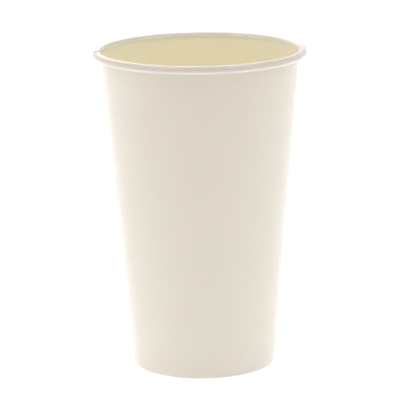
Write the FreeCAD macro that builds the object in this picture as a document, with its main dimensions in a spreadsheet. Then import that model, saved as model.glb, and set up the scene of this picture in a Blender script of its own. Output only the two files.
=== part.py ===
# Paper cold cup, 16 oz: a side wall of one paperboard blank with a lap seam, a rolled
# rim and a folded hem, and a drawn bottom disc whose skirt is held inside that hem.
#
# Millimetres, +Z up. The origin is the middle of the ring on which the cup stands, and
# an azimuth is measured about Z from +X towards +Y.
import FreeCAD, Part
import math
import os

import Sketcher

# Driving dimensions: lengths in millimetres, angles in degrees.
SIZES = {
    # The cup as a whole.
    "rim_diameter": 90.0,
    "base_diameter": 60.0,
    "cup_height": 136.0,
    # The side wall's board, and the rim rolled from its top edge.
    "board": 0.35,
    "bead_diameter": 3.5,
    "curl_gap": 0.05,
    "tuck_angle": 115.0,
    # The lap seam: where the inner ply ends, the lap, and the run in which the outer
    # ply settles back onto the wall, both measured along the rim, how far its two plies
    # are pressed into each other, and how much higher the doubled fold's floor stands.
    "seam_azimuth": 184.0,
    "seam_lap": 7.5,
    "seam_ease": 4.0,
    "seam_press": 0.15,
    "seam_fold_rise": 0.1,
    # The hem, folded in and up from the wall's lower edge, and the marks pressed into it.
    "hem_height": 7.0,
    "knurl_count": 64,
    "knurl_width": 0.9,
    "knurl_depth": 0.12,
    "knurl_margin": 1.0,
    # The bottom disc: its board, the height of its underside, and its seat in the hem.
    "bottom_board": 0.30,
    "recess_depth": 8.5,
    "pan_bend_radius": 0.3,
    "skirt_clearance": 0.3,
    "seal_gap": 0.04,
}

SHEET = "sizes"

# How a sketch numbers the points of a line or arc, and its own origin and axes.
START, END, CENTRE = range(1, 4)
X_AXIS, Z_AXIS = range(-1, -3, -1)
ORIGIN = (X_AXIS, START)


def make_sheet(doc):
    """Write the driving dimensions into a spreadsheet, one aliased cell each."""
    sheet = doc.addObject("Spreadsheet::Sheet", SHEET)
    for row, (alias, value) in enumerate(SIZES.items(), start=1):
        sheet.set(f"A{row}", alias)
        sheet.set(f"B{row}", str(value))
        sheet.setAlias(f"B{row}", alias)
    doc.recompute()
    return sheet


def cell(alias):
    """Name a cell of the sheet in an expression."""
    return f"<<{SHEET}>>.{alias}"


def rim_angle(alias):
    """Express a length along the rim as an angle in degrees."""
    return f"({cell(alias)} / ({cell('rim_diameter')} / 2) * 180 / pi)"


BEAD_RADIUS = f"({cell('bead_diameter')} / 2)"
TUCK_RADIUS = f"({BEAD_RADIUS} - {cell('board')} - {cell('curl_gap')})"
HEM_POCKET = f"({cell('bottom_board')} + 2 * {cell('seal_gap')})"


class Layout:
    """Where the section's lines run, worked out from the sheet for a sketch to start from."""

    def __init__(self, sheet):
        self.size = {alias: sheet.get(alias) for alias in SIZES}
        self.bead_radius = self.size["bead_diameter"] / 2
        self.base = FreeCAD.Vector(self.size["base_diameter"] / 2, 0, 0)
        self.curl = FreeCAD.Vector(
            self.size["rim_diameter"] / 2 - self.bead_radius,
            self.size["cup_height"] - self.bead_radius,
            0,
        )
        self.face_radius = self.bead_radius - self.size["board"]
        reach = self.curl - self.base
        lean_to_curl = math.atan2(reach.x, reach.y)
        self.lean = lean_to_curl - math.asin(self.face_radius / reach.Length)
        self.up = FreeCAD.Vector(math.sin(self.lean), math.cos(self.lean), 0)
        self.out = FreeCAD.Vector(math.cos(self.lean), -math.sin(self.lean), 0)

    def on_wall(self, inset, height):
        """Return the point at a height on the wall's outer face moved inwards by inset."""
        foot = self.base - self.out * inset
        return foot + self.up * ((height - foot.y) / self.up.y)


class Pen:
    """Draws one sketch: geometry by name, and constraints bound to the sheet."""

    def __init__(self, body, name, azimuth):
        plane = next(f for f in body.Origin.OriginFeatures if f.Role == "XZ_Plane")
        self.sketch = body.newObject("Sketcher::SketchObject", name)
        self.sketch.AttachmentSupport = [(plane, "")]
        self.sketch.MapMode = "FlatFace"
        turn = FreeCAD.Rotation(FreeCAD.Vector(0, 1, 0), 1)
        self.sketch.AttachmentOffset = FreeCAD.Placement(FreeCAD.Vector(), turn)
        self.sketch.setExpression("AttachmentOffset.Rotation.Angle", azimuth)

    def line(self, start, end, construction=False):
        """Add a straight line and return its number."""
        return self.sketch.addGeometry(Part.LineSegment(start, end), construction)

    def arc(self, centre, radius, first, last):
        """Add an arc that runs anticlockwise between two angles in degrees."""
        circle = Part.Circle(centre, FreeCAD.Vector(0, 0, 1), radius)
        ends = math.radians(first), math.radians(last)
        return self.sketch.addGeometry(Part.ArcOfCircle(circle, *ends), False)

    def relate(self, kind, *items):
        """Add a geometric constraint."""
        return self.sketch.addConstraint(Sketcher.Constraint(kind, *items))

    def size(self, name, expression, kind, *items):
        """Add a named dimension and bind it to an expression."""
        index = self.sketch.addConstraint(Sketcher.Constraint(kind, *items))
        self.sketch.renameConstraint(index, name)
        self.sketch.setExpression(f"Constraints.{name}", expression)

    def wall_datum(self, layout):
        """Add the wall's outer face as a construction line, fixed by base and curl."""
        touch = layout.curl - layout.out * layout.face_radius
        slant = self.line(layout.base, touch, True)
        spoke = self.line(touch, layout.curl, True)
        size = layout.size
        self.relate("Coincident", slant, END, spoke, START)
        self.relate("Perpendicular", slant, spoke)
        self.relate("PointOnObject", slant, START, X_AXIS)
        self.size("base_radius", f"{cell('base_diameter')} / 2",
                  "DistanceX", *ORIGIN, slant, START, size["base_diameter"] / 2)
        self.size("curl_inset", f"{BEAD_RADIUS} - {cell('board')}",
                  "Distance", spoke, layout.face_radius)
        self.size("curl_centre_radius", f"{cell('rim_diameter')} / 2 - {BEAD_RADIUS}",
                  "DistanceX", *ORIGIN, spoke, END, layout.curl.x)
        self.size("curl_centre_height", f"{cell('cup_height')} - {BEAD_RADIUS}",
                  "DistanceY", *ORIGIN, spoke, END, layout.curl.y)
        return slant, spoke


def draw_board_section(body, layout, name, azimuth, ply):
    """Draw the board's section from hem to curl: ply 0 on the wall, ply 1 lapped over it."""
    pen = Pen(body, name, azimuth)
    slant, spoke = pen.wall_datum(layout)
    size = layout.size
    board = size["board"]
    shift = ply * (board - size["seam_press"])
    lean = math.degrees(layout.lean)

    # The rolled rim: the curl over the top, then the tuck that turns up inside it.
    curl_radius = layout.bead_radius - shift
    tuck_radius = layout.bead_radius - board - size["curl_gap"] - shift
    tuck_centre = layout.curl - FreeCAD.Vector(0, board + size["curl_gap"], 0)
    tuck_end = -90 - size["tuck_angle"]
    curl_outer = pen.arc(layout.curl, curl_radius, -90, 180 - lean)
    curl_inner = pen.arc(layout.curl, curl_radius - board, -90, 180 - lean)
    tuck_outer = pen.arc(tuck_centre, tuck_radius, tuck_end, -90)
    tuck_inner = pen.arc(tuck_centre, tuck_radius - board, tuck_end, -90)
    ray = FreeCAD.Vector(math.cos(math.radians(tuck_end)), math.sin(math.radians(tuck_end)), 0)
    rim_edge = pen.line(tuck_centre + ray * (tuck_radius - board), tuck_centre + ray * tuck_radius)

    # The wall, and the hem folded in and up round the pocket for the disc's skirt.
    pocket = size["bottom_board"] + 2 * size["seal_gap"] + 2 * shift
    floor_height = board + ply * size["seam_fold_rise"]
    wall_inset = board - shift
    hem_inset = wall_inset + pocket
    floor_wall = layout.on_wall(wall_inset, floor_height)
    floor_hem = layout.on_wall(hem_inset, floor_height)
    turn_wall = layout.on_wall(wall_inset, board)
    turn_hem = layout.on_wall(hem_inset, board)
    drop = FreeCAD.Vector(0, board, 0)
    hem_top = layout.on_wall(hem_inset, size["hem_height"])
    thickness = layout.out * board
    wall_outer = pen.line(turn_wall + thickness, layout.curl - layout.out * (curl_radius - board))
    wall_inner = pen.line(floor_wall, layout.curl - layout.out * curl_radius)
    fold_floor = pen.line(floor_hem, floor_wall)
    hem_outer = pen.line(floor_hem, hem_top)
    hem_edge = pen.line(hem_top, hem_top - thickness)
    hem_inner = pen.line(hem_top - thickness, turn_hem - thickness)
    hem_corner = pen.arc(turn_hem, board, 180 - lean, 270)
    land = pen.line(turn_hem - drop, turn_wall - drop)
    wall_corner = pen.arc(turn_wall, board, -90, -lean)

    # Smooth joins, then sharp ones.
    pen.relate("Tangent", wall_outer, END, curl_inner, END)
    pen.relate("Tangent", wall_inner, END, curl_outer, END)
    pen.relate("Tangent", curl_outer, START, tuck_outer, END)
    pen.relate("Tangent", curl_inner, START, tuck_inner, END)
    pen.relate("Tangent", hem_inner, END, hem_corner, START)
    pen.relate("Tangent", hem_corner, END, land, START)
    pen.relate("Tangent", land, END, wall_corner, START)
    pen.relate("Tangent", wall_corner, END, wall_outer, START)
    pen.relate("Coincident", tuck_inner, START, rim_edge, START)
    pen.relate("Coincident", tuck_outer, START, rim_edge, END)
    pen.relate("Coincident", fold_floor, END, wall_inner, START)
    pen.relate("Coincident", fold_floor, START, hem_outer, START)
    pen.relate("Coincident", hem_outer, END, hem_edge, START)
    pen.relate("Coincident", hem_edge, END, hem_inner, START)

    # The curl's centre, the tuck's centre below it, and the straight faces' direction.
    pen.relate("Coincident", curl_outer, CENTRE, spoke, END)
    pen.relate("Coincident", curl_inner, CENTRE, curl_outer, CENTRE)
    pen.relate("Coincident", tuck_inner, CENTRE, tuck_outer, CENTRE)
    pen.relate("Vertical", curl_outer, CENTRE, curl_outer, START)
    pen.relate("PointOnObject", tuck_outer, CENTRE, rim_edge)
    pen.relate("Parallel", wall_outer, slant)
    pen.relate("Parallel", wall_inner, slant)
    pen.relate("Parallel", hem_outer, slant)
    pen.relate("Parallel", hem_inner, slant)
    pen.relate("Perpendicular", hem_edge, hem_outer)
    pen.relate("Horizontal", fold_floor)
    pen.relate("Horizontal", land)
    pen.relate("PointOnObject", land, START, X_AXIS)

    # Dimensions from the sheet.
    lapped = f"{ply} * ({cell('board')} - {cell('seam_press')})"
    pen.size("curl_radius", f"{BEAD_RADIUS} - {lapped}", "Radius", curl_outer, curl_radius)
    pen.size("curl_inner_radius", f"{BEAD_RADIUS} - {lapped} - {cell('board')}",
             "Radius", curl_inner, curl_radius - board)
    pen.size("tuck_radius", f"{TUCK_RADIUS} - {lapped}", "Radius", tuck_outer, tuck_radius)
    pen.size("tuck_direction", f"(270 - {cell('tuck_angle')}) * 1 deg",
             "Angle", rim_edge, math.radians(270 - size["tuck_angle"]))
    pen.size("fold_floor_height", f"{cell('board')} + {ply} * {cell('seam_fold_rise')}",
             "DistanceY", *ORIGIN, fold_floor, START, floor_height)
    pen.size("hem_pocket", f"{HEM_POCKET} + 2 * {lapped}",
             "Distance", hem_outer, START, wall_inner, pocket)
    pen.size("hem_thickness", cell("board"), "Distance", hem_inner, START, hem_outer, board)
    pen.size("hem_height", cell("hem_height"),
             "DistanceY", *ORIGIN, hem_outer, END, size["hem_height"])
    pen.size("hem_corner_radius", cell("board"), "Radius", hem_corner, board)
    pen.size("wall_corner_radius", cell("board"), "Radius", wall_corner, board)
    return pen.sketch


def draw_disc_section(body, layout):
    """Draw the bottom disc's half section: a flat pan with its skirt turned down."""
    pen = Pen(body, "disc_section", "0")
    slant, _ = pen.wall_datum(layout)
    size = layout.size
    thickness = size["bottom_board"]
    bend = size["pan_bend_radius"]
    underside = size["recess_depth"]
    skirt_foot = size["board"] + size["skirt_clearance"]
    skirt_inset = size["board"] + size["seal_gap"]
    lean = math.degrees(layout.lean)

    # The bend's centre stands one bend radius below the pan and inside the skirt.
    bend_centre = layout.on_wall(skirt_inset + thickness + bend, underside - bend)
    over = FreeCAD.Vector(0, bend + thickness, 0)
    under = FreeCAD.Vector(0, bend, 0)
    foot_out = layout.on_wall(skirt_inset, skirt_foot)
    foot_in = layout.on_wall(skirt_inset + thickness, skirt_foot)
    middle_low = FreeCAD.Vector(0, underside, 0)
    middle_high = FreeCAD.Vector(0, underside + thickness, 0)

    middle = pen.line(middle_low, middle_high)
    top_face = pen.line(middle_high, bend_centre + over)
    bend_out = pen.arc(bend_centre, bend + thickness, -lean, 90)
    skirt_out = pen.line(bend_centre + layout.out * (bend + thickness), foot_out)
    foot = pen.line(foot_out, foot_in)
    skirt_in = pen.line(foot_in, bend_centre + layout.out * bend)
    bend_in = pen.arc(bend_centre, bend, -lean, 90)
    under_face = pen.line(bend_centre + under, middle_low)

    pen.relate("Coincident", middle, END, top_face, START)
    pen.relate("Tangent", top_face, END, bend_out, END)
    pen.relate("Tangent", bend_out, START, skirt_out, START)
    pen.relate("Coincident", skirt_out, END, foot, START)
    pen.relate("Coincident", foot, END, skirt_in, START)
    pen.relate("Tangent", skirt_in, END, bend_in, START)
    pen.relate("Tangent", bend_in, END, under_face, START)
    pen.relate("Coincident", under_face, END, middle, START)
    pen.relate("PointOnObject", middle, START, Z_AXIS)
    pen.relate("PointOnObject", middle, END, Z_AXIS)
    pen.relate("Horizontal", under_face)
    pen.relate("Horizontal", foot)
    pen.relate("Parallel", skirt_out, slant)
    pen.relate("Coincident", bend_in, CENTRE, bend_out, CENTRE)

    pen.size("underside_height", cell("recess_depth"),
             "DistanceY", *ORIGIN, middle, START, underside)
    pen.size("disc_thickness", cell("bottom_board"),
             "DistanceY", middle, START, middle, END, thickness)
    pen.size("skirt_foot_height", f"{cell('board')} + {cell('skirt_clearance')}",
             "DistanceY", *ORIGIN, foot, START, skirt_foot)
    pen.size("skirt_inset", f"{cell('board')} + {cell('seal_gap')}",
             "Distance", foot, START, slant, skirt_inset)
    pen.size("bend_inner_radius", cell("pan_bend_radius"), "Radius", bend_in, bend)
    return pen.sketch


def draw_knurl_section(body, layout, azimuth):
    """Draw one knurl mark's section, from the open side of the hem into its inner ply."""
    pen = Pen(body, "knurl_section", azimuth)
    slant, _ = pen.wall_datum(layout)
    size = layout.size
    face_inset = 2 * size["board"] + size["bottom_board"] + 2 * size["seal_gap"]
    depth_inset = face_inset - size["knurl_depth"]
    clear_inset = face_inset + size["board"]
    low = size["board"] + size["knurl_margin"]
    high = size["hem_height"] - size["knurl_margin"]
    corners = [
        layout.on_wall(depth_inset, low),
        layout.on_wall(clear_inset, low),
        layout.on_wall(clear_inset, high),
        layout.on_wall(depth_inset, high),
    ]
    foot, clear, head, root = (
        pen.line(corners[i], corners[(i + 1) % len(corners)]) for i in range(len(corners))
    )
    pen.relate("Coincident", foot, END, clear, START)
    pen.relate("Coincident", clear, END, head, START)
    pen.relate("Coincident", head, END, root, START)
    pen.relate("Coincident", root, END, foot, START)
    pen.relate("Horizontal", foot)
    pen.relate("Horizontal", head)
    pen.relate("Parallel", clear, slant)
    pen.relate("Parallel", root, slant)
    hem_face = f"2 * {cell('board')} + {HEM_POCKET}"
    pen.size("root_inset", f"{hem_face} - {cell('knurl_depth')}",
             "Distance", root, END, slant, depth_inset)
    pen.size("clear_inset", f"{hem_face} + {cell('board')}",
             "Distance", clear, START, slant, clear_inset)
    pen.size("foot_height", f"{cell('board')} + {cell('knurl_margin')}",
             "DistanceY", *ORIGIN, foot, START, low)
    pen.size("head_height", f"{cell('hem_height')} - {cell('knurl_margin')}",
             "DistanceY", *ORIGIN, head, START, high)
    return pen.sketch


def revolve(body, name, sketch, angle, reverse=False):
    """Turn a section about the cup's axis through an angle given by an expression."""
    feature = body.newObject("PartDesign::Revolution", name)
    feature.Profile = sketch
    feature.ReferenceAxis = (sketch, ["V_Axis"])
    feature.Reversed = reverse
    feature.setExpression("Angle", angle)
    return feature


def make_side_wall(doc, layout):
    """Roll the blank: one ply round the cup, the lap over it, and the run between them."""
    body = doc.addObject("PartDesign::Body", "side_wall")
    inner_edge = cell("seam_azimuth")
    settled = f"{inner_edge} + {rim_angle('seam_ease')}"
    single = draw_board_section(body, layout, "single_section", settled, 0)
    lapped = draw_board_section(body, layout, "lapped_section", inner_edge, 1)
    revolve(body, "ply_round_the_cup", single, f"360 - {rim_angle('seam_ease')}")
    revolve(body, "lap_over_the_seam", lapped, rim_angle("seam_lap"), reverse=True)
    settle = body.newObject("PartDesign::AdditiveLoft", "lap_settles")
    settle.Profile = lapped
    settle.Sections = [single]
    settle.Ruled = True
    doc.recompute()
    press_knurl(body, layout, settled)
    return body


def press_knurl(body, layout, settled):
    """Press the row of marks into the hem's single ply, clear of the seam at both ends."""
    doc = body.Document
    smooth_volume = body.Shape.Volume
    pitch = f"((360 - {rim_angle('seam_lap')} - {rim_angle('seam_ease')}) / ({cell('knurl_count')} + 1))"
    section = draw_knurl_section(body, layout, f"{settled} + {pitch}")
    mark = body.newObject("PartDesign::Groove", "knurl_mark")
    mark.Profile = section
    mark.ReferenceAxis = (section, ["V_Axis"])
    mark.Midplane = True
    mark.setExpression("Angle", f"{cell('knurl_width')} / ({cell('base_diameter')} / 2) * 180 / pi")
    doc.recompute()
    if not body.Shape.Volume < smooth_volume:
        raise RuntimeError("the knurl mark cuts nothing")
    row = body.newObject("PartDesign::PolarPattern", "knurl_row")
    row.Originals = [mark]
    row.Axis = (section, ["V_Axis"])
    row.setExpression("Occurrences", cell("knurl_count"))
    row.setExpression("Angle", f"{pitch} * ({cell('knurl_count')} - 1)")
    body.Tip = row
    doc.recompute()


def make_bottom_disc(doc, layout):
    """Turn the bottom disc, which is round and sits between the wall and its hem."""
    body = doc.addObject("PartDesign::Body", "bottom_disc")
    section = draw_disc_section(body, layout)
    revolve(body, "drawn_pan", section, "360")
    doc.recompute()
    return body


def check(doc, pieces):
    """Stop if any object failed to compute, or any piece isn't one valid solid."""
    failed = [o.Name for o in doc.Objects if {"Invalid", "Error"} & set(o.State)]
    if failed:
        raise RuntimeError(f"objects failed to compute: {failed}")
    for piece in pieces:
        if piece.Shape.isNull() or not piece.Shape.isValid():
            raise RuntimeError(f"{piece.Label} has no valid shape")
        if len(piece.Shape.Solids) != 1:
            raise RuntimeError(f"{piece.Label} is {len(piece.Shape.Solids)} solids")


def main():
    """Build the cup's two pieces and write each to its own STEP file."""
    doc = FreeCAD.newDocument("paper_cold_cup")
    layout = Layout(make_sheet(doc))
    pieces = [make_side_wall(doc, layout), make_bottom_disc(doc, layout)]
    check(doc, pieces)
    os.makedirs("parts", exist_ok=True)
    for piece in pieces:
        piece.Shape.exportStep(f"parts/{piece.Label}.step")
        print(f"{piece.Label}: {piece.Shape.Volume:.1f} mm3")


main()
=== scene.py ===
"""Looks for the paper cold cup: its rolled and seamed board, its finishes and its studio.

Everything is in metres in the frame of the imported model: +Z up, the origin in the middle
of the ring on which the cup stands, and azimuths about Z from +X towards +Y.
"""
import logging
import math
from collections.abc import Callable, Iterator
from contextlib import contextmanager
from dataclasses import dataclass, replace
from enum import Enum

import bmesh
import bpy
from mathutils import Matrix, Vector


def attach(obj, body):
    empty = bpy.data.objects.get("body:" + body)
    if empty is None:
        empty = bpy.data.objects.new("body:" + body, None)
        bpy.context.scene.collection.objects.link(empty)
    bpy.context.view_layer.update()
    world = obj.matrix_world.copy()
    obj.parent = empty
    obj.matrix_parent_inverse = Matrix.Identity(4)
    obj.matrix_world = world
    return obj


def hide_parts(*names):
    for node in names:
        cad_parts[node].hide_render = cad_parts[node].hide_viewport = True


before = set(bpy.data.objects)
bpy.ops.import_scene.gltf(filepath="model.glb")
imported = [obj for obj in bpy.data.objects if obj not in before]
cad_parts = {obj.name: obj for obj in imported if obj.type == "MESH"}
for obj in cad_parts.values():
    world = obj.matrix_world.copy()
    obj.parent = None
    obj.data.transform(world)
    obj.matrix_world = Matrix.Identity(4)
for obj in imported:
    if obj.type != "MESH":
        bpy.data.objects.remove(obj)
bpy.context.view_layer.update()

LOG = logging.getLogger("paper_cold_cup")

Colour = tuple[float, float, float]
Point = tuple[float, float, float]
Element = bmesh.types.BMVert | bmesh.types.BMEdge | bmesh.types.BMFace
Socket = bpy.types.NodeSocket
Source = Socket | float | tuple[float, ...]

WHITE: Colour = (1.0, 1.0, 1.0)
BLACK: Colour = (0.0, 0.0, 0.0)


def opaque(colour: Colour) -> tuple[float, float, float, float]:
    """Return a colour with full alpha, as node sockets take it."""
    return (*colour, 1.0)


# ---------------------------------------------------------------------------
# Sizes
# ---------------------------------------------------------------------------


@dataclass(frozen=True)
class CupSizes:
    """The cup's sizes in metres: the solids', with the rim a hair inside their faceted box."""

    rim_diameter: float = 0.08998
    base_diameter: float = 0.060
    height: float = 0.136
    board: float = 0.00035
    bead_diameter: float = 0.0035
    curl_gap: float = 0.00005
    tuck_angle: float = math.radians(115)
    seam_azimuth: float = math.radians(184)
    seam_lap: float = 0.0075
    seam_ease: float = 0.004
    seam_press: float = 0.00015
    hem_height: float = 0.007
    bottom_board: float = 0.0003
    recess_depth: float = 0.0085
    pan_bend_radius: float = 0.0003
    skirt_clearance: float = 0.0003
    seal_gap: float = 0.00004

    @property
    def bead_radius(self) -> float:
        """Radius of the rolled rim in section."""
        return self.bead_diameter / 2

    @property
    def lap_angle(self) -> float:
        """Angle about Z that the lap covers."""
        return self.seam_lap / (self.rim_diameter / 2)

    @property
    def ease_angle(self) -> float:
        """Angle about Z in which the outer ply settles back onto the wall."""
        return self.seam_ease / (self.rim_diameter / 2)

    @property
    def lap_rise(self) -> float:
        """How far the lapped ply stands off the wall, pressed as it is into the other."""
        return self.board - self.seam_press

    @property
    def pocket(self) -> float:
        """Width of the pocket between wall and hem that holds the disc's skirt."""
        return self.bottom_board + 2 * self.seal_gap


class WallLine:
    """The slanted line of the wall's outer face in section, and the rim's centre."""

    def __init__(self, sizes: CupSizes) -> None:
        """Work out the lean that takes the wall from its base to its rolled rim.

        Args:
            sizes: The cup's sizes.
        """
        self.base = Vector((sizes.base_diameter / 2, 0, 0))
        self.curl = Vector(
            (sizes.rim_diameter / 2 - sizes.bead_radius, 0, sizes.height - sizes.bead_radius)
        )
        reach = self.curl - self.base
        face_radius = sizes.bead_radius - sizes.board
        self.lean = math.atan2(reach.x, reach.z) - math.asin(face_radius / reach.length)
        self.up = Vector((math.sin(self.lean), 0, math.cos(self.lean)))
        self.out = Vector((math.cos(self.lean), 0, -math.sin(self.lean)))

    def at(self, inset: float, height: float) -> Vector:
        """Return the point in the section at a height, an inset inside the outer face."""
        foot = self.base - self.out * inset
        return foot + self.up * ((height - foot.z) / self.up.z)


# ---------------------------------------------------------------------------
# Edit-mode bench
# ---------------------------------------------------------------------------

SECTION_AXIS = (0, 1, 0)
CUP_AXIS = (0, 0, 1)
CENTRE = (0, 0, 0)
MERGE_DISTANCE = 2e-6
SMALLEST_EDGE = 1e-6

# How squarely a face at a ply's end faces round the cup, and how near to the end it lies.
FACING = 0.9
AZIMUTH_SLACK = 1e-3


@contextmanager
def editing(piece: bpy.types.Object) -> Iterator[None]:
    """Edit one piece alone, and leave edit mode afterwards.

    Args:
        piece: The piece to edit.

    Yields:
        Nothing, while the piece is being edited.
    """
    bpy.ops.object.select_all(action="DESELECT")
    piece.select_set(True)
    bpy.context.view_layer.objects.active = piece
    bpy.ops.object.mode_set(mode="EDIT")
    try:
        yield
    finally:
        bpy.ops.object.mode_set(mode="OBJECT")


def pick(piece: bpy.types.Object, kind: str, wanted: Callable[[Element], bool]) -> int:
    """Select the elements of a piece in edit mode that pass a test.

    Args:
        piece: The piece being edited.
        kind: VERT, EDGE or FACE.
        wanted: The test that an element has to pass.

    Returns:
        How many elements are selected.
    """
    bpy.ops.mesh.select_mode(type=kind)
    bpy.ops.mesh.select_all(action="DESELECT")
    mesh = bmesh.from_edit_mesh(piece.data)
    elements = {"VERT": mesh.verts, "EDGE": mesh.edges, "FACE": mesh.faces}[kind]
    chosen = [element for element in elements if wanted(element)]
    for element in chosen:
        element.select_set(True)
    mesh.select_flush_mode()
    bmesh.update_edit_mesh(piece.data)
    return len(chosen)


def middle_of(element: bmesh.types.BMEdge | bmesh.types.BMFace) -> Vector:
    """Return the mean place of an edge's or a face's corners."""
    return sum((corner.co for corner in element.verts), Vector()) / len(element.verts)


def azimuth_of(place: Vector) -> float:
    """Return a place's azimuth about the cup's axis, from 0 to a full turn."""
    return math.atan2(place.y, place.x) % math.tau


def extrude_along(start: Vector, stops: list[Vector]) -> None:
    """Extrude the selected edge by the moves from a start to each stop in turn."""
    for here, stop in zip([start, *stops], stops):
        bpy.ops.mesh.extrude_edges_move(TRANSFORM_OT_translate={"value": tuple(stop - here)})


def nudge(piece: bpy.types.Object, chosen: Callable[[Vector], bool],
          outwards: float, upwards: float, radius: float) -> None:
    """Move the chosen vertices outwards from the cup's axis and upwards.

    Args:
        piece: The piece, being edited.
        chosen: The test that a vertex's place has to pass.
        outwards: Distance away from the axis.
        upwards: Distance up.
        radius: How far the vertices stand from the axis.
    """
    if pick(piece, "VERT", lambda corner: chosen(corner.co)):
        grow = (radius + outwards) / radius
        bpy.ops.transform.resize(value=(grow, grow, 1), center_override=CENTRE)
        bpy.ops.transform.translate(value=(0, 0, upwards))


# ---------------------------------------------------------------------------
# Node wiring
# ---------------------------------------------------------------------------


class Wiring:
    """Places nodes in one tree and links them."""

    def __init__(self, tree: bpy.types.NodeTree) -> None:
        """Work in a tree: a material's, a world's or a node group's."""
        self.tree = tree

    def node(self, kind: str, **settings: object) -> bpy.types.Node:
        """Place a node.

        Args:
            kind: The node's type, without the ShaderNode prefix.
            **settings: Its own options.

        Returns:
            The node.
        """
        node = self.tree.nodes.new(kind if kind.startswith("Node") else f"ShaderNode{kind}")
        for option, value in settings.items():
            setattr(node, option, value)
        return node

    def feed(self, socket: Socket, source: Source) -> None:
        """Give a socket a link from another socket, or a plain value.

        Args:
            socket: The input to feed.
            source: An output socket or a value.
        """
        if isinstance(source, Socket):
            self.tree.links.new(source, socket)
        else:
            socket.default_value = source

    def feed_in_order(self, node: bpy.types.Node, *sources: Source) -> bpy.types.Node:
        """Feed a node's first inputs.

        Args:
            node: The node.
            *sources: What its inputs get, in their order.

        Returns:
            The node.
        """
        for socket, source in zip(node.inputs, sources):
            self.feed(socket, source)
        return node

    def feed_named(self, node: bpy.types.Node, **sources: Source) -> bpy.types.Node:
        """Feed several inputs of a node.

        Args:
            node: The node.
            **sources: What each input gets, with underscores for the spaces in its name.

        Returns:
            The node.
        """
        for name, source in sources.items():
            self.feed(node.inputs[name.replace("_", " ")], source)
        return node

    def maths(self, operation: str, *sources: Source) -> Socket:
        """Place a Math node, and return what it works out."""
        return self.feed_in_order(self.node("Math", operation=operation), *sources).outputs[0]

    def vector_maths(self, operation: str, result: str, *sources: Source) -> Socket:
        """Place a Vector Math node, and return one of its results."""
        node = self.node("VectorMath", operation=operation)
        return self.feed_in_order(node, *sources).outputs[result]

    def ramp(self, value: Source, low: Source, high: Source,
             start: Source = 0.0, end: Source = 1.0) -> Socket:
        """Place a smooth ramp that is at start up to low, and at end from high on."""
        node = self.node("MapRange", interpolation_type="SMOOTHSTEP")
        return self.feed_in_order(node, value, low, high, start, end).outputs["Result"]

    def mix(self, amount: Source, first: Source, second: Source, blend: str = "MIX") -> Socket:
        """Place a colour mix, in which an amount of the second colour acts on the first."""
        node = self.node("Mix", data_type="RGBA", blend_type=blend)
        return self.feed_named(node, Factor=amount, A=first, B=second).outputs["Result"]

    def noise(self, vector: Socket, detail: float = 2.0, roughness: float = 0.5) -> Socket:
        """Place a noise with features about one unit of its vector across.

        Args:
            vector: Where it is read.
            detail: How many finer layers it has.
            roughness: How strong they are.

        Returns:
            The noise's value, about 0.5 on average.
        """
        node = self.node("TexNoise", noise_dimensions="3D")
        self.feed_named(node, Vector=vector, Scale=1.0, Detail=detail, Roughness=roughness)
        return node.outputs["Fac"]

    def emboss(self, shader: bpy.types.Node, height: Socket, depth: float) -> None:
        """Give a shader a relief, whose height is read as a share of its depth."""
        bump = self.feed_named(self.node("Bump"), Distance=depth, Height=height)
        self.feed(shader.inputs["Normal"], bump.outputs["Normal"])

    def end_with_blend(self, end: bpy.types.Node, amount: Socket, first: Socket,
                       second: Socket) -> None:
        """Give the tree's last node a blend, with an amount of the second shader in it."""
        blend = self.feed_in_order(self.node("MixShader"), amount, first, second)
        self.feed(end.inputs["Surface"], blend.outputs["Shader"])


def new_material(name: str) -> tuple[bpy.types.Material, Wiring, bpy.types.Node]:
    """Start a material.

    Args:
        name: The material's name.

    Returns:
        The material, its wiring and its shader.
    """
    material = bpy.data.materials.new(name)
    material.use_nodes = True
    return material, Wiring(material.node_tree), material.node_tree.nodes["Principled BSDF"]


def new_group(name: str, inputs: dict[str, str],
              outputs: dict[str, str]) -> tuple[Wiring, bpy.types.Node, bpy.types.Node]:
    """Start a node group with named sockets.

    Args:
        name: The group's name.
        inputs: Socket types by input name.
        outputs: Socket types by output name.

    Returns:
        The group's wiring, its input node and its output node.
    """
    tree = bpy.data.node_groups.new(name, "ShaderNodeTree")
    for socket, kind in inputs.items():
        tree.interface.new_socket(socket, in_out="INPUT", socket_type=f"NodeSocket{kind}")
    for socket, kind in outputs.items():
        tree.interface.new_socket(socket, in_out="OUTPUT", socket_type=f"NodeSocket{kind}")
    wiring = Wiring(tree)
    return wiring, wiring.node("NodeGroupInput"), wiring.node("NodeGroupOutput")


# ---------------------------------------------------------------------------
# Effects that the finishes share
# ---------------------------------------------------------------------------


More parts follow.
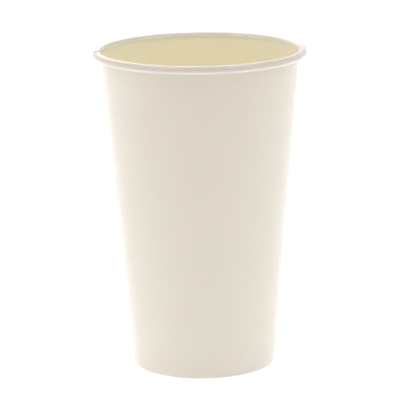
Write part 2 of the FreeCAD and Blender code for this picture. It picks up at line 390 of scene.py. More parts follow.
class Effects:
    """The node groups that the cup's materials share."""

    # The wall's radius halfway up, on which the blank is unrolled.
    UNROLL_RADIUS = 0.0375
    # Which layer of the noise the clouds and the two runs of fibres read.
    CLOUD_LAYER = 3.0
    UPRIGHT_LAYER = 7.0
    LYING_LAYER = 11.0
    # How fine and how rough the clouds are, where they start and end, and their relief.
    CLOUD_DETAIL = 3.0
    CLOUD_ROUGHNESS = 0.6
    CLOUD_RANGE = (0.32, 0.68)
    CLOUD_RELIEF = 0.5
    # How far the pressed masks take to fade past the hem and the lap.
    HEM_BLEND = 0.0008
    LAP_BLEND = 0.0006

    def __init__(self) -> None:
        """Build each group once."""
        self.board_face = self.make_board_face()
        self.pressed = self.make_pressed()

    @classmethod
    def unroll(cls, wiring: Wiring, place: Socket, cut: Source) -> tuple[Socket, Socket]:
        """Unroll the blank: read how far round it a point is, from a cut in the wall.

        Args:
            wiring: The tree to work in.
            place: The point in object coordinates.
            cut: Azimuth of the cut, in radians.

        Returns:
            The length round the cup and the height.
        """
        turned = wiring.feed_named(wiring.node("VectorRotate", rotation_type="Z_AXIS"),
                                   Vector=place, Angle=wiring.maths("SUBTRACT", math.pi, cut))
        parts = wiring.feed_named(wiring.node("SeparateXYZ"), Vector=turned.outputs["Vector"])
        angle = wiring.maths("ARCTAN2", parts.outputs["Y"], parts.outputs["X"])
        return wiring.maths("MULTIPLY", angle, cls.UNROLL_RADIUS), parts.outputs["Z"]

    @staticmethod
    def lay_flat(wiring: Wiring, place: Socket) -> tuple[Socket, Socket]:
        """Read a point's lengths along a sheet that stays flat and across it."""
        parts = wiring.feed_named(wiring.node("SeparateXYZ"), Vector=place)
        return parts.outputs["X"], parts.outputs["Y"]

    def make_board_face(self) -> bpy.types.NodeTree:
        """Make the board's face: its cloudy formation, its fibres and the film's relief.

        Returns:
            The group, with outputs Color, Variation and Height.
        """
        wiring, given, made = new_group(
            "board_face",
            {"Along Sheet": "Float", "Across Sheet": "Float", "Tint": "Color",
             "Cloud Tint": "Color", "Cloud Size": "Float", "Fibre Length": "Float",
             "Fibre Width": "Float", "Fibre Shade": "Float"},
            {"Color": "Color", "Variation": "Float", "Height": "Float"},
        )
        read = given.outputs

        def grain(along: str, across: str, layer: float, **shape: float) -> Socket:
            """Place a noise whose features have the sizes that two inputs give.

            Args:
                along: The input with their size along the sheet.
                across: The input with their size across it.
                layer: Which independent layer of the noise to read.
                **shape: The noise's detail and roughness.

            Returns:
                The noise's value.
            """
            place = wiring.feed_named(
                wiring.node("CombineXYZ"), Z=layer,
                X=wiring.maths("DIVIDE", read["Along Sheet"], read[along]),
                Y=wiring.maths("DIVIDE", read["Across Sheet"], read[across]))
            return wiring.noise(place.outputs["Vector"], **shape)

        cloud = grain("Cloud Size", "Cloud Size", self.CLOUD_LAYER,
                      detail=self.CLOUD_DETAIL, roughness=self.CLOUD_ROUGHNESS)
        cloudy = wiring.ramp(cloud, *self.CLOUD_RANGE)
        upright = grain("Fibre Width", "Fibre Length", self.UPRIGHT_LAYER)
        lying = grain("Fibre Length", "Fibre Width", self.LYING_LAYER)
        fibre = wiring.maths("MULTIPLY", wiring.maths("ADD", upright, lying), 0.5)
        tinted = wiring.mix(cloudy, read["Tint"], read["Cloud Tint"])
        shade = wiring.maths("MULTIPLY", wiring.maths("SUBTRACT", fibre, 0.5), read["Fibre Shade"])
        level = wiring.maths("ADD", 1.0, shade)
        grey = wiring.feed_named(wiring.node("CombineColor"), Red=level, Green=level, Blue=level)
        relief = wiring.maths("ADD", fibre, wiring.maths("MULTIPLY", cloud, self.CLOUD_RELIEF))
        wiring.feed_named(made, Color=wiring.mix(1.0, tinted, grey.outputs["Color"], "MULTIPLY"),
                          Variation=cloudy, Height=relief)
        return wiring.tree

    def make_pressed(self) -> bpy.types.NodeTree:
        """Make the masks of where the board is pressed or rolled, and of where a shadow beside the
        lap and light under the bead are painted.

        Returns:
            The group, with outputs Hem, Seam, Seam Line, Rim and Under Rim.
        """
        wiring, given, made = new_group(
            "pressed_zones",
            {"Position": "Vector", "Seam Cut": "Float", "Lap": "Float", "Line Width": "Float",
             "Hem Top": "Float", "Rim Radius": "Float", "Rim Foot": "Float",
             "Rim Turn": "Float", "Rim Blend": "Float"},
            {"Hem": "Float", "Seam": "Float", "Seam Line": "Float", "Rim": "Float",
             "Under Rim": "Float"},
        )
        read = given.outputs
        fading = (1.0, 0.0)

        def past(value: Socket, edge: Socket, blend: Source, *ends: float) -> Socket:
            """Place a mask that changes over a blend past an edge, and rises unless told."""
            return wiring.ramp(value, edge, wiring.maths("ADD", edge, blend), *ends)

        around, height = self.unroll(wiring, read["Position"], read["Seam Cut"])
        half_round = math.pi * self.UNROLL_RADIUS
        run = wiring.maths("ADD", around, half_round)
        beside = wiring.maths("SUBTRACT", half_round, around)
        level = wiring.vector_maths("MULTIPLY", "Vector", read["Position"], (1.0, 1.0, 0.0))
        reach = wiring.vector_maths("LENGTH", "Value", level)
        outside = past(reach, read["Rim Radius"], read["Rim Blend"])
        above = past(height, read["Rim Foot"], read["Rim Blend"])
        # The seam's line marks where a shadow is painted beside the lap's free edge, and Under Rim
        # marks the bead's underside, where light is painted.
        wiring.feed_named(
            made,
            Hem=past(height, read["Hem Top"], self.HEM_BLEND, *fading),
            Seam=past(run, read["Lap"], self.LAP_BLEND, *fading),
            Seam_Line=wiring.ramp(beside, 0.0, read["Line Width"], *fading),
            Rim=wiring.maths("MAXIMUM", outside, above),
            Under_Rim=past(height, read["Rim Turn"], read["Rim Blend"], *fading))
        return wiring.tree


# ---------------------------------------------------------------------------
# Finishes
# ---------------------------------------------------------------------------


@dataclass(frozen=True)
class FilmedBoard:
    """A face of the paperboard under its thin satin film."""

    name: str
    tint: Colour
    cloud_tint: Colour
    # The bead's colour: partly the rolled bead's own taupe tone, partly painted shade for the dim
    # band across its front.
    bead_tone_and_painted_shade: Colour
    # Painted light: the bead's underside made lighter, as if lit by the white table below it.
    bead_underside_painted_light: Colour
    pressed_tint: Colour
    seam_cut: float
    flat: bool = False
    # Painted shadow: how dark a thin line beside the lap's free edge is made, as if cast by the
    # lap's step, and that line's width.
    painted_seam_shadow: float = 0.0
    line_width: float = 0.0009
    lap_share: float = 0.8
    pressed_amount: float = 0.5
    cloud_size: float = 0.006
    fibre_length: float = 0.0022
    fibre_width: float = 0.0003
    fibre_shade: float = 0.05
    relief: float = 0.000012
    roughness: float = 0.46
    roughness_spread: float = 0.04
    film_weight: float = 0.8
    film_roughness: float = 0.27
    film_ior: float = 1.48
    rim_radius: float = 0.0420
    rim_foot: float = 0.1346
    rim_turn: float = 0.1332
    rim_blend: float = 0.0009
    light_through: float = 0.65
    light_tint: Colour = (1.0, 0.9, 0.75)
    light_depth: float = 0.0006

    def make(self, effects: Effects, sizes: CupSizes) -> bpy.types.Material:
        """Make the material.

        Args:
            effects: The shared node groups.
            sizes: The cup's sizes.

        Returns:
            The material.
        """
        material, wiring, shader = new_material(self.name)
        place = wiring.node("TexCoord").outputs["Object"]
        along, across = (Effects.lay_flat(wiring, place) if self.flat
                         else Effects.unroll(wiring, place, self.seam_cut))
        face = wiring.feed_named(
            wiring.node("Group", node_tree=effects.board_face),
            Along_Sheet=along, Across_Sheet=across, Tint=opaque(self.tint),
            Cloud_Tint=opaque(self.cloud_tint), Cloud_Size=self.cloud_size,
            Fibre_Length=self.fibre_length, Fibre_Width=self.fibre_width,
            Fibre_Shade=self.fibre_shade).outputs
        zones = wiring.feed_named(
            wiring.node("Group", node_tree=effects.pressed),
            Position=place, Seam_Cut=self.seam_cut, Lap=sizes.seam_lap * self.lap_share,
            Line_Width=self.line_width, Hem_Top=sizes.recess_depth, Rim_Radius=self.rim_radius,
            Rim_Foot=self.rim_foot, Rim_Turn=self.rim_turn, Rim_Blend=self.rim_blend).outputs
        either = wiring.maths("MAXIMUM", zones["Hem"], zones["Seam"])
        pressed = wiring.maths("MULTIPLY", either, self.pressed_amount)
        # Painted shadow: a thin dark line beside the lap's free edge, as if cast by its step.
        shade = wiring.maths("MULTIPLY", zones["Seam Line"], self.painted_seam_shadow)
        tinted = wiring.mix(pressed, face["Color"], opaque(self.pressed_tint))
        tinted = wiring.mix(shade, tinted, opaque(BLACK))
        # On the bead: its own tone with painted shade above, and painted light on its underside.
        rim = wiring.mix(zones["Under Rim"], opaque(self.bead_tone_and_painted_shade), opaque(self.bead_underside_painted_light))
        satin = wiring.ramp(face["Variation"], 0.0, 1.0, self.roughness - self.roughness_spread,
                            self.roughness + self.roughness_spread)
        wiring.feed_named(
            shader, Base_Color=wiring.mix(zones["Rim"], tinted, rim), Roughness=satin,
            IOR=self.film_ior, Subsurface_Weight=self.light_through,
            Subsurface_Radius=self.light_tint, Subsurface_Scale=self.light_depth,
            Coat_Weight=self.film_weight, Coat_Roughness=self.film_roughness)
        wiring.emboss(shader, face["Height"], self.relief)
        return material


@dataclass(frozen=True)
class CutBoard:
    """The raw edge of the board, where its fibres show between the two films."""

    name: str
    tint: Colour
    shadow_tint: Colour
    seam_cut: float
    grain: float = 0.00012
    fibre_boards: float = 4.0
    fibre_shade: float = 0.3
    relief: float = 0.00003
    roughness: float = 0.92

    def make(self, effects: Effects, sizes: CupSizes) -> bpy.types.Material:
        """Make the material.

        Args:
            effects: The shared node groups.
            sizes: The cup's sizes.

        Returns:
            The material.
        """
        material, wiring, shader = new_material(self.name)
        place = wiring.node("TexCoord").outputs["Object"]
        along, across = Effects.unroll(wiring, place, self.seam_cut)
        face = wiring.feed_named(
            wiring.node("Group", node_tree=effects.board_face),
            Along_Sheet=along, Across_Sheet=across, Tint=opaque(self.tint),
            Cloud_Tint=opaque(self.shadow_tint), Cloud_Size=self.grain,
            Fibre_Length=sizes.board * self.fibre_boards, Fibre_Width=self.grain / 2,
            Fibre_Shade=self.fibre_shade).outputs
        wiring.feed_named(shader, Base_Color=face["Color"], Roughness=self.roughness)
        wiring.emboss(shader, face["Height"], self.relief)
        return material


# ---------------------------------------------------------------------------
# The cup's two pieces
# ---------------------------------------------------------------------------


class Side(Enum):
    """The sides of the board, in the order of a piece's material slots."""

    OUTER_FACE = 0
    DRINK_SIDE = 1
    CUT_EDGE = 2


class Ply(Enum):
    """Which turn of the blank a section cuts."""

    ON_WALL = 0
    LAPPED = 1


Finishes = dict[Side, bpy.types.Material]

DRINK_SIDE_MARK = "drink_side"


@dataclass
class BoardPiece:
    """A piece made of board: its section is drawn first, and then turned about the cup's axis."""

    sizes: CupSizes
    line: WallLine
    crease: float = math.radians(34)

    @staticmethod
    def start_section(board: float, middle: Vector, lean: float,
                      drink_way: Vector) -> bpy.types.Object:
        """Start a section in the XZ plane with one square face as wide as the board is thick.

        The corners on the drink side go in a group, which extrusions copy.

        Args:
            board: The board's thickness.
            middle: The middle of the face.
            lean: How far the face leans.
            drink_way: The way from the middle to the board's drink side.

        Returns:
            The section.
        """
        bpy.ops.mesh.primitive_plane_add(size=board, location=middle,
                                         rotation=(math.pi / 2, lean, 0))
        piece = bpy.context.object
        bpy.ops.object.transform_apply(location=True, rotation=True, scale=True)
        marked = [corner.index for corner in piece.data.vertices
                  if (corner.co - middle).dot(drink_way) > 0]
        piece.vertex_groups.new(name=DRINK_SIDE_MARK).add(marked, 1.0, "REPLACE")
        return piece

    @staticmethod
    def dress(piece: bpy.types.Object, finishes: Finishes) -> None:
        """Give each side of the board its finish, by the group that its corners are in.

        Args:
            piece: The piece.
            finishes: The material of each side of the board.
        """
        for side in Side:
            piece.data.materials.append(finishes[side])
        mark = piece.vertex_groups[DRINK_SIDE_MARK]
        marked = [any(entry.group == mark.index and entry.weight > 0.5 for entry in corner.groups)
                  for corner in piece.data.vertices]
        for face in piece.data.polygons:
            share = sum(marked[corner] for corner in face.vertices)
            side = (Side.DRINK_SIDE if share == len(face.vertices)
                    else Side.OUTER_FACE if share == 0 else Side.CUT_EDGE)
            face.material_index = side.value
        piece.vertex_groups.remove(mark)

    def complete(self, piece: bpy.types.Object, name: str, node: str,
                 finishes: Finishes) -> bpy.types.Object:
        """Close, smooth, dress and name a piece, and let it stand for its solid.

        Args:
            piece: The piece, in object mode.
            name: Its name.
            node: The solid that it stands for, whose material slot has the same name.
            finishes: The material of each side of the board.

        Returns:
            The piece.
        """
        with editing(piece):
            bpy.ops.mesh.select_all(action="SELECT")
            bpy.ops.mesh.remove_doubles(threshold=MERGE_DISTANCE)
            bpy.ops.mesh.dissolve_degenerate(threshold=SMALLEST_EDGE)
            bpy.ops.mesh.select_all(action="SELECT")
            bpy.ops.mesh.normals_make_consistent(inside=False)
        bpy.ops.object.shade_smooth_by_angle(angle=self.crease)
        self.dress(piece, finishes)
        piece.name = piece.data.name = name
        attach(piece, "root")
        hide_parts(node)
        return piece


@dataclass
class SideWall(BoardPiece):
    """The wall: one blank rolled round and lapped, with a rolled rim and a folded hem."""

    knurl_count: int = 64
    knurl_bevel: float = 0.0001
    knurl_depth: float = 0.00012
    knurl_margin: float = 0.001
    columns_a_mark: int = 3
    lap_columns: int = 6
    ease_cuts: int = 3
    corner_steps: int = 6
    curl_steps: int = 38
    tuck_steps: int = 16
    fold_boards: float = 1.2
    fold_ease_columns: int = 4
    hem_swell: float = 0.00005
    swell_ease: float = 0.0016
    swell_lead: float = 0.4
    row_slack: float = 0.0001
    face_slack: float = 0.00005
    wall_rows: tuple[float, ...] = (
        0.0012, 0.0030, 0.0050, 0.0070, 0.0080, 0.0086, 0.0091, 0.0097, 0.0105, 0.0120,
        *(0.012 + 0.0056 * row for row in range(1, 21)), 0.1270, 0.1296, 0.1312,
    )

    @property
    def settled(self) -> float:
        """Azimuth at which the outer ply has settled onto the wall."""
        return self.sizes.seam_azimuth + self.sizes.ease_angle

    @property
    def mark_pitch(self) -> float:
        """Angle about Z from one knurl mark to the next."""
        ring = math.tau - self.sizes.lap_angle - self.sizes.ease_angle
        return ring / (self.knurl_count + 1)

    @property
    def column(self) -> float:
        """Angle about Z that one column of faces covers."""
        return self.mark_pitch / self.columns_a_mark

    def draw_section(self, ply: Ply) -> bpy.types.Object:
        """Draw the board's section from the hem's free edge to the rim's, in the XZ plane.

        Args:
            ply: The turn of the blank that it cuts.

        Returns:
            A flat strip of faces as wide as the board is thick.
        """
        sizes, line = self.sizes, self.line
        board = sizes.board
        shift = ply.value * sizes.lap_rise
        wall_inset = board - shift
        hem_inset = wall_inset + sizes.pocket + 2 * shift
        turn_wall = line.at(wall_inset, board)
        turn_hem = line.at(hem_inset, board)
        hem_top = line.at(hem_inset, sizes.hem_height)
        start = hem_top - line.up * (board / 2) - line.out * (board / 2)
        piece = self.start_section(board, start, line.lean, line.out)
        with editing(piece):
            pick(piece, "EDGE", lambda edge: (middle_of(edge) - start).dot(line.up) < -board / 3)
            heights = (sizes.hem_height - self.knurl_margin, sizes.hem_height / 2,
                       board + self.knurl_margin, board)
            extrude_along(hem_top - line.up * board,
                          [line.at(hem_inset, height) for height in heights])
            bpy.ops.mesh.spin(steps=self.corner_steps, angle=math.pi / 2 + line.lean,
                              center=turn_hem, axis=SECTION_AXIS)
            extrude_along(turn_hem, [turn_wall])
            bpy.ops.mesh.spin(steps=self.corner_steps, angle=math.pi / 2 - line.lean,
                              center=turn_wall, axis=SECTION_AXIS)
            touch = line.curl - line.out * (sizes.bead_radius - shift)
            rows = [line.at(wall_inset, height) for height in self.wall_rows]
            extrude_along(turn_wall, [*rows, touch])
            bpy.ops.mesh.spin(steps=self.curl_steps, angle=line.lean - math.pi * 3 / 2,
                              center=line.curl, axis=SECTION_AXIS)
            tuck = line.curl - Vector((0, 0, board + sizes.curl_gap))
            bpy.ops.mesh.spin(steps=self.tuck_steps, angle=-sizes.tuck_angle,
                              center=tuck, axis=SECTION_AXIS)
        return piece

    @staticmethod
    def turn_to(piece: bpy.types.Object, azimuth: float) -> None:
        """Turn a section about the cup's axis to an azimuth, in its mesh."""
        piece.rotation_euler.z = azimuth
        bpy.ops.object.transform_apply(location=True, rotation=True, scale=True)

    def roll_ply(self) -> bpy.types.Object:
        """Roll the ply that goes round the cup, from where the lap has settled.

        Returns:
            The ply, whose columns meet the edges of the knurl marks, open at its start.
        """
        ply = self.draw_section(Ply.ON_WALL)
        self.turn_to(ply, self.settled)
        columns = self.columns_a_mark * (self.knurl_count + 1) - 1
        spins = ((1, self.column / 2), (columns, self.column * columns), (1, self.column / 2),
                 (self.lap_columns, self.sizes.lap_angle))
        with editing(ply):
            bpy.ops.mesh.select_all(action="SELECT")
            for steps, angle in spins:
                bpy.ops.mesh.spin(steps=steps, angle=-angle, center=CENTRE, axis=CUP_AXIS)
            self.lift_lapped_fold(ply)
            self.open_end(ply, self.settled)
        return ply

    def lift_lapped_fold(self, ply: bpy.types.Object) -> None:
        """Lift the fold where the outer ply's fold passes under it.

        Args:
            ply: The ply round the cup, being edited.
        """
        sizes = self.sizes
        slack = self.column / 4
        rise = sizes.lap_rise
        drift = rise * math.tan(self.line.lean)
        fold = sizes.board * self.fold_boards

        def lift(first: float, last: float, share: float) -> None:
            """Lift the fold between two azimuths by a share of the whole rise."""
            nudge(ply, lambda place: place.z < fold and first < azimuth_of(place) <= last,
                  drift * share, rise * share, sizes.base_diameter / 2)

        edge = sizes.seam_azimuth - sizes.lap_angle - slack
        lift(edge, sizes.seam_azimuth + slack, 1.0)
        for step in range(1, self.fold_ease_columns + 1):
            lift(edge - self.column, edge, 1 - step / (self.fold_ease_columns + 1))
            edge -= self.column

    def roll_lap(self) -> bpy.types.Object:
        """Roll the part of the blank that laps over its other edge.

        Returns:
            The lap, from the outer free edge to the inner edge's azimuth, open there.
        """
        lap = self.draw_section(Ply.LAPPED)
        self.turn_to(lap, self.sizes.seam_azimuth)
        with editing(lap):
            bpy.ops.mesh.select_all(action="SELECT")
            bpy.ops.mesh.spin(steps=self.lap_columns, angle=self.sizes.lap_angle,
                              center=CENTRE, axis=CUP_AXIS)
            self.open_end(lap, self.sizes.seam_azimuth)
        return lap

    @staticmethod
    def open_end(ply: bpy.types.Object, azimuth: float) -> None:
        """Take away the faces that close a ply at an azimuth.

        Args:
            ply: The ply, being edited.
            azimuth: Where its open end is to be.
        """
        tangent = Vector((-math.sin(azimuth), math.cos(azimuth), 0))
        pick(ply, "FACE", lambda face: abs(face.normal.dot(tangent)) > FACING
             and abs(azimuth_of(middle_of(face)) - azimuth) < AZIMUTH_SLACK)
        bpy.ops.mesh.delete(type="FACE")

    def settle_lap(self, wall: bpy.types.Object) -> None:
        """Join the open ends over the run in which the lap settles onto the wall.

        Args:
            wall: Both plies in one mesh.
        """
        with editing(wall):
            pick(wall, "EDGE", lambda edge: edge.is_boundary)
            bpy.ops.mesh.bridge_edge_loops(type="SINGLE", number_cuts=self.ease_cuts,
                                           interpolation="LINEAR")
            bpy.ops.mesh.select_all(action="SELECT")
            bpy.ops.mesh.normals_make_consistent(inside=False)

    def inset_of(self, place: Vector) -> float:
        """Return how far inside the wall's outer face a place is, square to that face."""
        section = Vector((math.hypot(place.x, place.y), 0, place.z))
        return (self.line.base - section).dot(self.line.out)

    def swell_hem(self, wall: bpy.types.Object) -> None:
        """Swell the wall slightly where the disc's skirt and the hem are pressed into it.

        Args:
            wall: The wall.
        """
        top = self.sizes.recess_depth + self.sizes.bottom_board
        wall_reach = self.sizes.board * 1.5
        with editing(wall):
            for row in self.wall_rows:
                share = 1 - min(max((row - top) / self.swell_ease + self.swell_lead, 0), 1)
                if share > 0:
                    nudge(wall, lambda place: abs(place.z - row) < self.row_slack
                          and self.inset_of(place) < wall_reach,
                          self.hem_swell * share, 0, self.sizes.base_diameter / 2)

    def press_marks(self, wall: bpy.types.Object) -> None:
        """Press the row of knurl marks into the open side of the hem.

        Args:
            wall: The wall.
        """
        sizes = self.sizes
        open_face = sizes.board * 2 + sizes.pocket
        low, high = sizes.board + self.knurl_margin, sizes.hem_height - self.knurl_margin

        def is_mark(face: bmesh.types.BMFace) -> bool:
            """Tell whether a face lies in one of the marks.

            Args:
                face: A face of the wall.

            Returns:
                Whether it does.
            """
            middle = middle_of(face)
            turn = (azimuth_of(middle) - self.settled) % math.tau / self.mark_pitch
            return (low < middle.z < high
                    and abs(self.inset_of(middle) - open_face) < self.face_slack
                    and 0.5 < turn < self.knurl_count + 0.5
                    and abs(turn - round(turn)) * self.mark_pitch < self.column / 4)

        with editing(wall):
            pick(wall, "FACE", is_mark)
            bpy.ops.mesh.inset(thickness=self.knurl_bevel, depth=-self.knurl_depth)

    def build(self, finishes: Finishes) -> bpy.types.Object:
        """Build the wall as one closed sheet of board.

        Args:
            finishes: The material of each side of the board.

        Returns:
            The wall.
        """
        wall, lap = self.roll_ply(), self.roll_lap()
        bpy.ops.object.select_all(action="DESELECT")
        for ply in (wall, lap):
            ply.select_set(True)
        bpy.context.view_layer.objects.active = wall
        bpy.ops.object.join()
        self.settle_lap(wall)
        self.swell_hem(wall)
        self.press_marks(wall)
        return self.complete(wall, "cup_wall", "side_wall", finishes)


@dataclass
class BottomDisc(BoardPiece):
    """The bottom: a round of board drawn into a shallow pan with its skirt turned down."""

    columns: int = 160
    bend_steps: int = 7
    skirt_rows: int = 3
    sag: float = 0.00022
    rings: tuple[float, ...] = (0.0015, 0.004, 0.007, 0.010, 0.013, 0.016, 0.019, 0.022,
                                0.0245, 0.0265, 0.0280, 0.0289)

    def sag_at(self, radius: float) -> float:
        """Return how far the pan sags at a radius."""
        reach = min(radius / self.rings[-2], 1)
        return -self.sag * (1 + math.cos(math.pi * reach)) / 2

    def draw_section(self) -> bpy.types.Object:
        """Draw the board's section from the pan's middle to the skirt's foot, in the XZ plane.

        Returns:
            A flat strip of faces as wide as the board is thick.
        """
        sizes, line = self.sizes, self.line
        board = sizes.bottom_board
        inset = sizes.board + sizes.seal_gap
        bend_height = sizes.recess_depth - sizes.pan_bend_radius
        centre = line.at(inset + board + sizes.pan_bend_radius, bend_height)
        mid_height = sizes.recess_depth + board / 2
        start = Vector((board / 2, 0, mid_height + self.sag_at(0)))
        strip = self.start_section(board, start, 0, Vector(CUP_AXIS))
        with editing(strip):
            pick(strip, "EDGE", lambda edge: (middle_of(edge) - start).x > board / 3)
            stops = [Vector((radius, 0, mid_height + self.sag_at(radius))) for radius in self.rings]
            extrude_along(Vector((board, 0, start.z)),
                          [*stops, Vector((centre.x, 0, mid_height))])
            bpy.ops.mesh.spin(steps=self.bend_steps, angle=-(math.pi / 2 + line.lean),
                              center=centre, axis=SECTION_AXIS)
            top = line.at(inset, bend_height)
            foot = line.at(inset, sizes.board + sizes.skirt_clearance)
            extrude_along(top, [top.lerp(foot, (row + 1) / self.skirt_rows)
                                for row in range(self.skirt_rows)])
        return strip

    def build(self, finishes: Finishes) -> bpy.types.Object:
        """Build the disc from its section's outline, open where it meets the cup's axis.

        Args:
            finishes: The material of each side of the board.

        Returns:
            The disc.
        """
        disc = self.draw_section()
        axis_slack = self.sizes.bottom_board / 10
        with editing(disc):
            for spare in (lambda edge: not edge.is_boundary,
                          lambda edge: middle_of(edge).x < axis_slack):
                pick(disc, "EDGE", spare)
                bpy.ops.mesh.delete(type="EDGE")
            bpy.ops.mesh.select_all(action="SELECT")
            bpy.ops.mesh.spin(steps=self.columns, angle=math.tau, center=CENTRE, axis=CUP_AXIS)
        return self.complete(disc, "cup_bottom", "bottom_disc", finishes)


# ---------------------------------------------------------------------------
# Studio
# ---------------------------------------------------------------------------

CUP_MIDDLE: Point = (0.0, 0.0, 0.07)
BELOW_FOOT: Point = (0.0, 0.0, -0.03)


@dataclass(frozen=True)
class Lamp:
    """A lamp that faces a point: a square softbox, or a soft spot where it has a beam."""

    name: str
    place: Point
    facing: Point
    width: float
    power: float
    beam: float = 0.0

    def hang(self) -> None:
        """Hang the lamp and set its light."""
        aim = (Vector(self.facing) - Vector(self.place)).to_track_quat("-Z", "Y").to_euler()
        kind = "SPOT" if self.beam else "AREA"
        bpy.ops.object.light_add(type=kind, location=self.place, rotation=aim)
        lamp = bpy.context.object
        lamp.name = self.name
        lamp.data.energy = self.power
        if self.beam:
            lamp.data.spot_size = math.radians(self.beam)
            lamp.data.spot_blend = 1.0
            lamp.data.shadow_soft_size = self.width
        else:
            lamp.data.shape = "SQUARE"
            lamp.data.size = self.width


@dataclass(frozen=True)
class Studio:
    """The white table, the white surroundings, the lamps and the camera."""

    floor_size: float = 4.0
    floor_drop: float = 0.00002
    floor_white: Colour = (0.92, 0.92, 0.92)
    floor_roughness: float = 0.9
    floor_shine: float = 0.1
    floor_glow: float = 0.86
    table_light: float = 0.44
    dim_side: Point = (0.0, -0.85, 0.527)
    dim_range: tuple[float, float] = (-0.2, 0.9)
    front_level: float = 0.46
    back_level: float = 0.64
    lamps: tuple[Lamp, ...] = (
        Lamp("softbox_top", (0.0, 0.1, 1.3), CUP_MIDDLE, 0.9, 2.0),
        Lamp("softbox_front_left", (-0.62, -0.3, 0.95), CUP_MIDDLE, 0.6, 2.2),
        Lamp("softbox_front_right", (0.62, -0.3, 0.95), CUP_MIDDLE, 0.6, 2.2),
        Lamp("softbox_back", (-0.2, 0.85, 0.8), CUP_MIDDLE, 0.9, 3.3),
        Lamp("softbox_left", (-0.9, 0.1, 0.2), CUP_MIDDLE, 0.6, 0.5),
        Lamp("softbox_right", (0.9, 0.1, 0.2), CUP_MIDDLE, 0.6, 0.25),
        Lamp("spot_front", (0.0, -1.0, 0.35), BELOW_FOOT, 0.1, 4.6, 14.0),
        Lamp("spot_left", (-0.95, -0.3, 0.35), BELOW_FOOT, 0.1, 3.8, 14.0),
        Lamp("spot_right", (0.95, -0.3, 0.35), BELOW_FOOT, 0.1, 3.2, 14.0),
        Lamp("spot_back", (0.0, 1.0, 0.35), BELOW_FOOT, 0.1, 1.5, 14.0),
    )
    camera_place: Point = (-0.00089, -1.01843, 0.30779)
    camera_pitch: float = math.radians(13.12)
    camera_roll: float = math.radians(-0.81)
    camera_lens: float = 220.3

    def lay_floor(self) -> None:
        """Lay the table, which glows white to the camera and still takes a soft shadow."""
        bpy.ops.mesh.primitive_plane_add(size=self.floor_size, location=(0, 0, -self.floor_drop))
        floor = bpy.context.object
        bpy.ops.object.transform_apply(location=True, rotation=False, scale=False)
        floor.name = "studio_floor"
        material, wiring, shader = new_material("studio_white")
        wiring.feed_named(
            shader, Base_Color=opaque(self.floor_white), Roughness=self.floor_roughness,
            Specular_IOR_Level=self.floor_shine, Emission_Color=opaque(WHITE),
            Emission_Strength=self.table_light)
        seen = wiring.node("LightPath").outputs["Is Camera Ray"]
        wiring.end_with_blend(
            material.node_tree.nodes["Material Output"],
            wiring.maths("MULTIPLY", seen, self.floor_glow),
            shader.outputs["BSDF"], wiring.node("Emission").outputs["Emission"])
        floor.data.materials.append(material)

    def paint_surround(self) -> None:
        """Light the cup softly from all round, with white behind it and in its gloss."""
        world = bpy.data.worlds.new("studio_surround")
        bpy.context.scene.world = world
        world.use_nodes = True
        wiring = Wiring(world.node_tree)
        soft = world.node_tree.nodes["Background"]
        toward = wiring.vector_maths("DOT_PRODUCT", "Value",
                                     wiring.node("TexCoord").outputs["Generated"], self.dim_side)
        level = wiring.ramp(toward, *self.dim_range, self.back_level, self.front_level)
        wiring.feed_named(soft, Strength=level, Color=opaque(WHITE))
        white = wiring.feed_named(wiring.node("Background"), Color=opaque(WHITE))
        ray = wiring.node("LightPath").outputs
        seen = wiring.maths("MAXIMUM", ray["Is Camera Ray"], ray["Is Glossy Ray"])
        seen = wiring.maths("MAXIMUM", seen, ray["Is Transmission Ray"])
        wiring.end_with_blend(world.node_tree.nodes["World Output"], seen,
                              soft.outputs["Background"], white.outputs["Background"])

    def place_camera(self) -> None:
        """Place the camera and look through it."""
        bpy.ops.object.camera_add(location=self.camera_place)
        camera = bpy.context.object
        camera.rotation_mode = "ZYX"
        camera.rotation_euler = (math.pi / 2 - self.camera_pitch, 0, self.camera_roll)
        camera.name = "studio_camera"
        camera.data.lens = self.camera_lens
        bpy.context.scene.camera = camera

    def set_up(self) -> None:
        """Set up the whole studio."""
        bpy.context.scene.view_settings.view_transform = "Standard"
        self.lay_floor()
        self.paint_surround()
        for lamp in self.lamps:
            lamp.hang()
        self.place_camera()
        LOG.info("studio: %d lamps", len(self.lamps))


# ---------------------------------------------------------------------------
# The whole
# ---------------------------------------------------------------------------


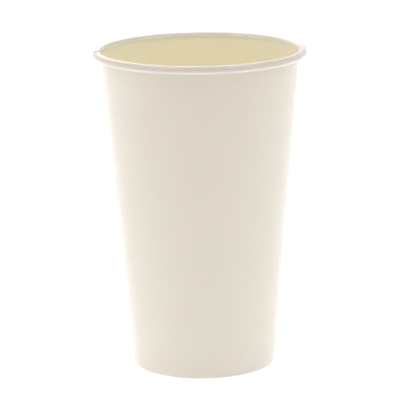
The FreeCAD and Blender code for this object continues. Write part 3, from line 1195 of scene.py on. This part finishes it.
def make_finishes(sizes: CupSizes) -> tuple[Finishes, Finishes]:
    """Make the board's finishes, for the rolled wall and for the flat bottom.

    Args:
        sizes: The cup's sizes.

    Returns:
        The material of each side of the wall's board, and of the bottom's.
    """
    effects = Effects()
    rolled = {
        Side.OUTER_FACE: FilmedBoard(
            name="board_outer_face", tint=(0.669, 0.621, 0.541), cloud_tint=(0.659, 0.621, 0.547),
            # The bead: painted shade above and painted light on its underside; and the painted
            # shadow beside the lap's free edge.
            bead_tone_and_painted_shade=(0.685, 0.638, 0.562), bead_underside_painted_light=(0.70, 0.665, 0.60),
            pressed_tint=(0.683, 0.622, 0.545), painted_seam_shadow=0.22,
            seam_cut=sizes.seam_azimuth - sizes.lap_angle),
        Side.DRINK_SIDE: FilmedBoard(
            name="board_drink_side", tint=(0.94, 0.858, 0.678), cloud_tint=(0.93, 0.858, 0.688),
            # The bead: its own taupe tone with painted shade above, and painted light on its
            # underside.
            bead_tone_and_painted_shade=(0.65, 0.575, 0.50), bead_underside_painted_light=(0.70, 0.665, 0.60),
            pressed_tint=(0.89, 0.81, 0.63),
            seam_cut=sizes.seam_azimuth),
        Side.CUT_EDGE: CutBoard(
            name="board_cut_edge", tint=(0.84, 0.80, 0.73), shadow_tint=(0.76, 0.71, 0.62),
            seam_cut=sizes.seam_azimuth),
    }
    wall = {side: finish.make(effects, sizes) for side, finish in rolled.items()}
    bottom = dict(wall)
    for side in (Side.OUTER_FACE, Side.DRINK_SIDE):
        bottom[side] = replace(rolled[side], name=f"{rolled[side].name}_flat", flat=True,
                               pressed_amount=0.0, painted_seam_shadow=0.0).make(effects, sizes)
    return wall, bottom


def report(piece: bpy.types.Object) -> None:
    """Log a piece's name and how many triangles it has."""
    piece.data.calc_loop_triangles()
    LOG.info("%s: %d triangles", piece.name, len(piece.data.loop_triangles))


def main() -> None:
    """Build the cup's pieces in order, report each one and set up the studio."""
    logging.basicConfig(level=logging.INFO, format="%(message)s")
    sizes = CupSizes()
    line = WallLine(sizes)
    wall_finishes, bottom_finishes = make_finishes(sizes)
    report(SideWall(sizes, line).build(wall_finishes))
    report(BottomDisc(sizes, line).build(bottom_finishes))
    Studio().set_up()


if __name__ == "__main__":
    main()
